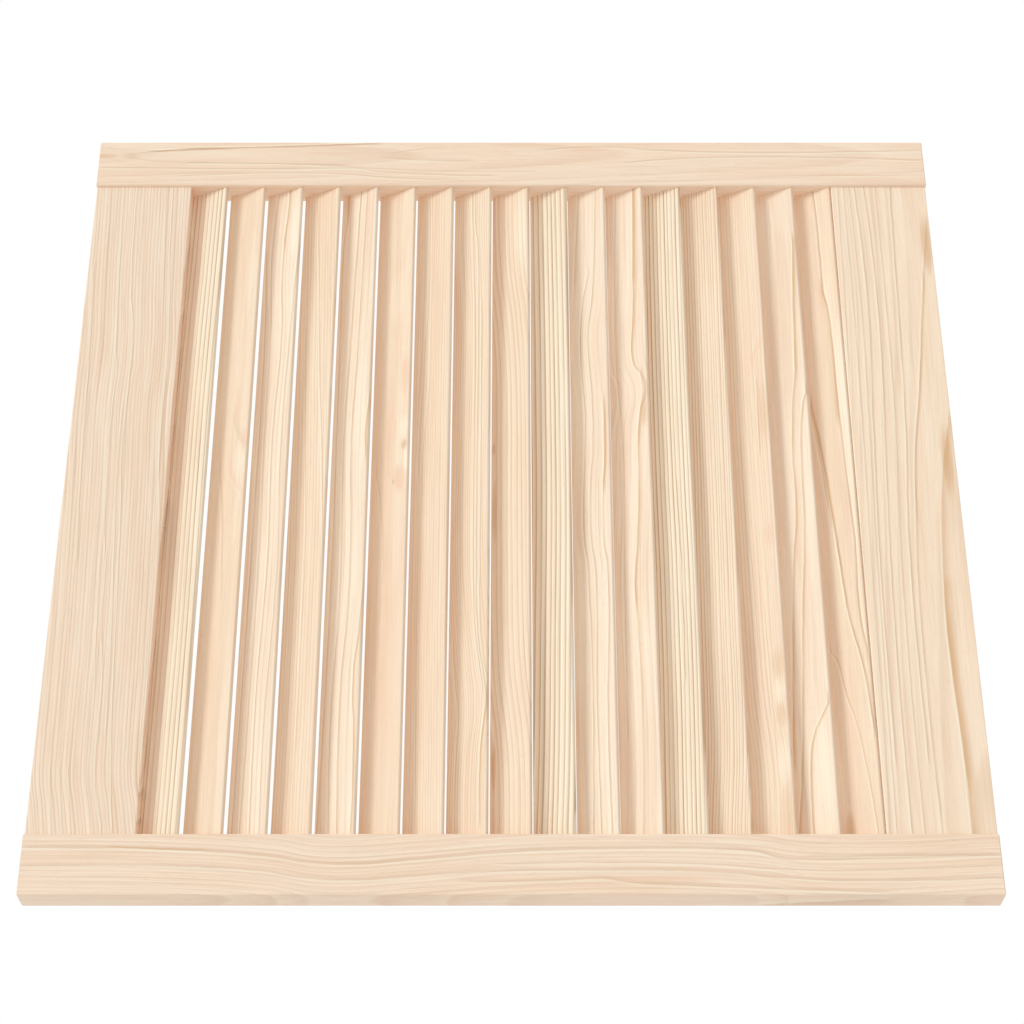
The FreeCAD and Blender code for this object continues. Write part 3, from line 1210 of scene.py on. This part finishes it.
        PLAIN_SAWN, 5.0, Tone.CREAM, (0.04, 0.0), contrast=0.15, start=15.3,
        lines=(
            GrainLine(((-256, -3), (-200, -1), (-185, 2), (-175, 7), (-165, 13)), 0.5, 2.4, 0.75,
                      MarkTone.RESIN),
            GrainLine(((-250, -12.5), (-200, -7), (-100, 0), (-25, 6), (20, 7), (60, 10), (75, 14)),
                      0.5, 2.4, 0.65, MarkTone.RESIN),
            GrainLine(((-200, -13), (-130, -9), (-60, -4), (-12, 1), (25, 1), (70, 4), (100, 7.5),
                       (140, 9), (204, 12.5)), 0.5, 2.8, 0.65, MarkTone.RESIN),
            GrainLine(((100, 7.5), (140, 9), (204, 12.5)), 0.5, 3.2, 0.5, MarkTone.RESIN),
        ),
        marks=(Mark(-205, 7, 34, 7, MarkTone.PALE, 0.35),),
    ),
    "slat_17": GrainFigure(
        PLAIN_SAWN, 5.0, Tone.ROSY, (-0.04, 0.0), contrast=0.2, start=16.3,
        lines=(
            GrainLine(((-253, 10.7), (-210, 7), (-180, 3), (-150, -4), (-135, -6), (-123, -12)), 0.4,
                      1.2, 0.6, MarkTone.RESIN),
            GrainLine(((-180, 13.5), (-140, 10.5), (-100, 3.5), (-60, 0), (-10, -3.5), (30, -7),
                       (71, -12)), 0.5, 2.0, 0.75, MarkTone.BROWN),
            GrainLine(((-85, 1.8), (-65, 0.3), (-45, -0.8)), 0.5, 2.0, 0.6, MarkTone.BROWN),
            GrainLine(((-20, -4.5), (10, -7), (35, -9), (65, -12.5)), 0.5, 4.0, 0.55, MarkTone.RESIN),
            GrainLine(((-125, 14), (-90, 11), (-50, 12), (0, 10.5), (60, 8.5), (150, 6.5), (165, 4),
                       (200, 4), (256, 2.5)), 2.0, 0.5, 0.7, MarkTone.BROWN),
            GrainLine(((60, 8), (110, 7.5), (150, 6), (166, 4)), 5.0, 0.5, 0.5, MarkTone.RESIN),
        ),
        marks=(Mark(70, 13, 90, 4, MarkTone.PALE, 0.5), Mark(-250, -7, 14, 4, MarkTone.RESIN, 0.5)),
    ),
}


@dataclass
class LouvreSlats:
    """The fixed slats, which rise to the front face towards the bottom rail.

    The painted edge shade is a greyish strip of painted shade along the upper edge of each slat, where
    the edge faces away from the key light.
    """

    groups: GrainGroups
    angle: float = math.radians(27.5)
    half_thickness_mm: float = 1.7
    # Painted shade: a greyish darker strip along each slat's upper edge, standing in for the shade on
    # that edge
    painted_edge_shade: Mark = Mark(0, 15.2, 900, 1.4, MarkTone.DUST, 0.35)

    def dress(self, nodes: Pieces) -> None:
        """Give each slat its own pine.

        Args:
            nodes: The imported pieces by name.
        """
        across = (math.cos(self.angle), 0.0, math.sin(self.angle))
        face = (-math.sin(self.angle), 0.0, math.cos(self.angle))
        for name, figure in SLAT_FIGURES.items():
            frame = GrainFrame(middle(name), CROSSWISE, across, face, self.half_thickness_mm)
            figure = replace(figure, marks=(*figure.marks, self.painted_edge_shade))
            dress(name, WoodFinish(f"pine_{name}", figure, frame), self.groups, nodes)


@dataclass
class JointDowels:
    """The beech dowels inside the frame's joints."""

    groups: GrainGroups
    prefix: str = "dowel_"
    figure: GrainFigure = GrainFigure((-30.0, -20.0), 1.6, Tone.BEECH, contrast=0.4, start=20.0)

    def dress(self, nodes: Pieces) -> None:
        """Give every dowel turned wood.

        Args:
            nodes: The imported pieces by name.
        """
        for name in sorted(nodes):
            if name.startswith(self.prefix):
                frame = GrainFrame(middle(name), CROSSWISE, LENGTHWISE, FRONTWARD, half_thickness(name))
                dress(name, WoodFinish(f"beech_{name}", self.figure, frame), self.groups, nodes)


@dataclass
class Studio:
    """White floor, soft light from the left and the camera."""

    floor_side: float = 12.0
    floor_drop: float = 0.0002
    floor_glow: float = 0.90
    room_glow: float = 0.82
    fill_colour: Triple = (0.965, 1.0, 1.0)
    key_strength: float = 1.09
    key_softness: float = math.radians(19.0)
    key_colour: Triple = (0.90, 1.0, 1.0)
    key_direction: Triple = (0.77, -0.29, -0.60)
    camera_place: Triple = (0.0, -0.7959, 1.371)
    camera_pitch: float = math.radians(29.779)
    lens_mm: float = 80.42
    sensor_mm: float = 36.0
    right_of_middle_px: float = 0.85
    bounces: int = 24

    def glow(self, tree: Tree, shader: str, output: str, strength: float) -> None:
        """Let the floor or the room light the door, while the camera sees it plain white.

        Args:
            tree: The floor's or the room's node tree.
            shader: Blender's name for the type of node that glows.
            output: The name of the tree's output node.
            strength: How strongly it lights the door.
        """
        sheet = Sheet(tree)
        fill = sheet.node(shader)
        fill.inputs["Color"].default_value = (*self.fill_colour, 1.0)
        fill.inputs["Strength"].default_value = strength
        white = sheet.node(shader)
        white.inputs["Color"].default_value = WHITE
        seen = sheet.node("ShaderNodeLightPath").outputs["Is Camera Ray"]
        blend = sheet.node("ShaderNodeMixShader")
        sheet.feed_all(blend, (seen, fill.outputs[0], white.outputs[0]))
        sheet.feed(tree.nodes[output].inputs["Surface"], blend.outputs[0])

    def build_floor(self) -> None:
        """Lay the floor, a light table that looks white all over."""
        mesh = bpy.data.meshes.new("studio_floor")
        sheet = bmesh.new()
        bmesh.ops.create_grid(sheet, x_segments=1, y_segments=1, size=self.floor_side / 2)
        sheet.to_mesh(mesh)
        sheet.free()
        floor = bpy.data.objects.new("studio_floor", mesh)
        floor.location.z = -self.floor_drop
        bpy.context.scene.collection.objects.link(floor)
        material = bpy.data.materials.new("studio_white")
        material.use_nodes = True
        self.glow(material.node_tree, "ShaderNodeEmission", "Material Output", self.floor_glow)
        mesh.materials.append(material)

    def build_light(self) -> None:
        """Hang a wide soft key light on the left and fill the room with even light."""
        lamp = bpy.data.lights.new("key_light", "SUN")
        lamp.color = self.key_colour
        lamp.energy = self.key_strength
        lamp.angle = self.key_softness
        key = bpy.data.objects.new("key_light", lamp)
        key.rotation_mode = "QUATERNION"
        key.rotation_quaternion = Vector(self.key_direction).to_track_quat("-Z", "Y")
        bpy.context.scene.collection.objects.link(key)
        room = bpy.data.worlds.new("studio_room")
        room.use_nodes = True
        self.glow(room.node_tree, "ShaderNodeBackground", "World Output", self.room_glow)
        bpy.context.scene.world = room

    def build_camera(self) -> None:
        """Set the camera before the near stile, looking down at the front face."""
        lens = bpy.data.cameras.new("camera")
        lens.lens = self.lens_mm
        lens.sensor_width = self.sensor_mm
        lens.shift_x = self.right_of_middle_px / IMAGE_SIDE_PX
        camera = bpy.data.objects.new("camera", lens)
        camera.location = self.camera_place
        camera.rotation_euler = (self.camera_pitch, 0.0, 0.0)
        bpy.context.scene.collection.objects.link(camera)
        bpy.context.scene.camera = camera

    def set_picture(self) -> None:
        """Keep colours as they are, and let light bounce often between the pale boards."""
        scene = bpy.context.scene
        scene.view_settings.view_transform = "Standard"
        scene.cycles.max_bounces = self.bounces
        scene.cycles.diffuse_bounces = self.bounces

    def build(self) -> None:
        """Build the floor, the light and the camera."""
        self.build_floor()
        self.build_light()
        self.build_camera()
        self.set_picture()
        LOG.info("studio: floor, light and camera")


def main() -> None:
    """Load the frame, dress each sub-assembly and set up the studio."""
    logging.basicConfig(level=logging.INFO, format="%(name)s %(message)s")
    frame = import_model()
    groups = GrainGroups()
    for assembly in (FrameBoards(groups), LouvreSlats(groups), JointDowels(groups)):
        assembly.dress(frame["nodes"])
    Studio().build()


if __name__ == "__main__":
    main()
